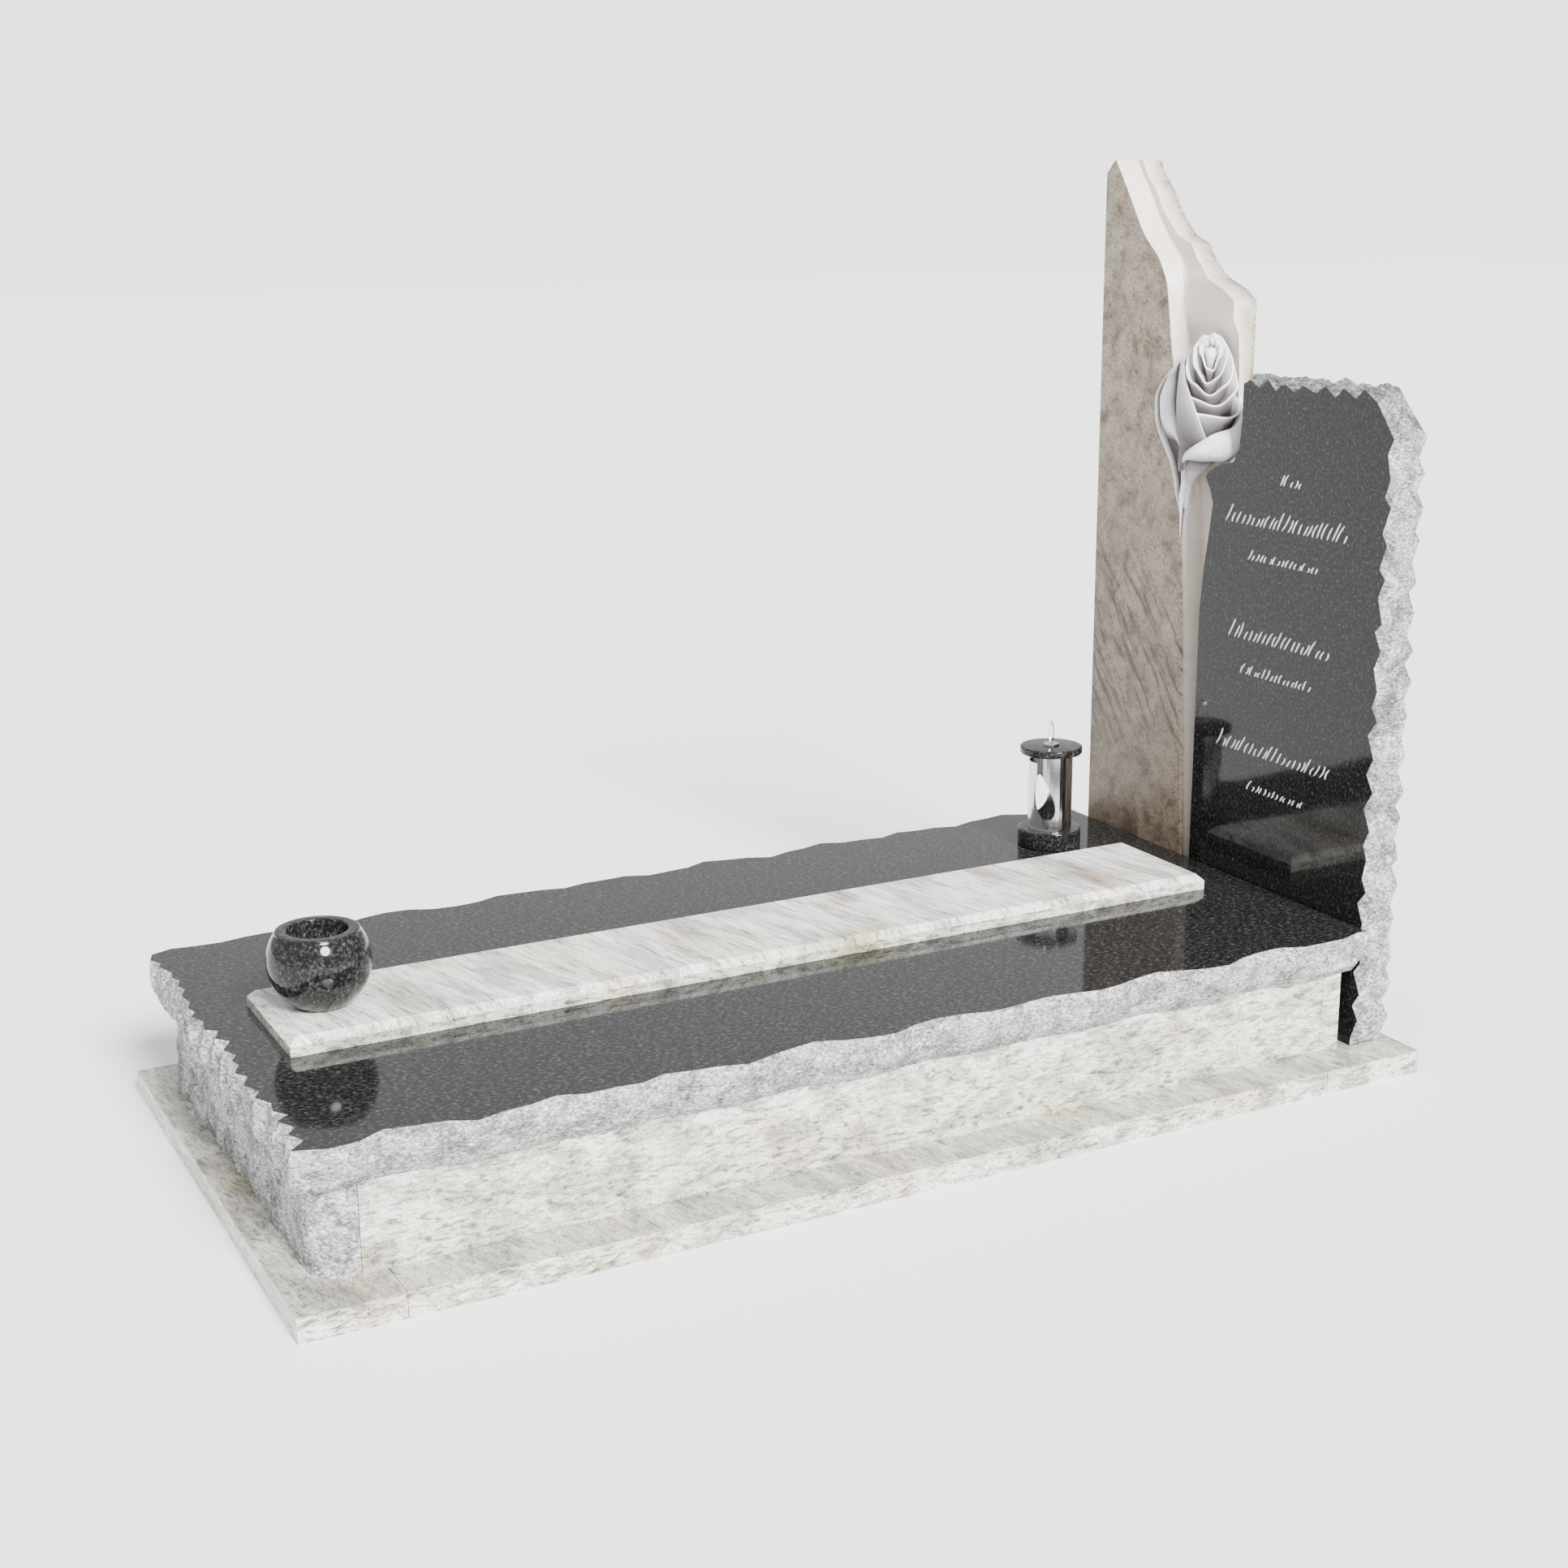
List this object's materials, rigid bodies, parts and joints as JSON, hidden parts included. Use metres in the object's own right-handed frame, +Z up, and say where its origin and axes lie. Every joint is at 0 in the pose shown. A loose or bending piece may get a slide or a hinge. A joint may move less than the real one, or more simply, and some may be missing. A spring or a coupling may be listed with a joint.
{
  "type": "gravestone with sculpture",
  "caption": "Granite grave monument: kerbed cover slab with a light runner, dark rock-edged headstone, tall stele with a carved rose, ball vase and grave lantern.",
  "frame": {"origin": "on the ground, at the middle of the surround's underside", "axes": "+Z up, +Y from the grave's foot to its head, +X across it; the viewer stands on the +X, -Y side"},
  "size_m": [0.99, 2, 1.5533],
  "materials": {
    "light_granite": "polished white granite with grey-green streaks",
    "dark_granite": "polished near-black granite, rock-pitched edges",
    "beige_granite": "honed beige-pink granite, carved",
    "polished_steel": "polished stainless steel"
  },
  "bodies": {
    "root": {"surround_slab_foot": "light_granite", "surround_slab_head": "light_granite", "surround_slab_near": "light_granite", "surround_slab_far": "light_granite", "kerb_foot_block": "dark_granite", "kerb_near_wall": "light_granite", "kerb_far_wall": "light_granite", "kerb_head_wall": "light_granite", "cover_slab": "dark_granite", "runner_slab": "light_granite", "headstone": "dark_granite", "stele_with_rose": "beige_granite", "vase": "dark_granite", "lantern_base": "dark_granite", "lantern_tube": "polished_steel", "lantern_lid": "dark_granite", "lantern_handle": "polished_steel"}
  },
  "joints": []
}
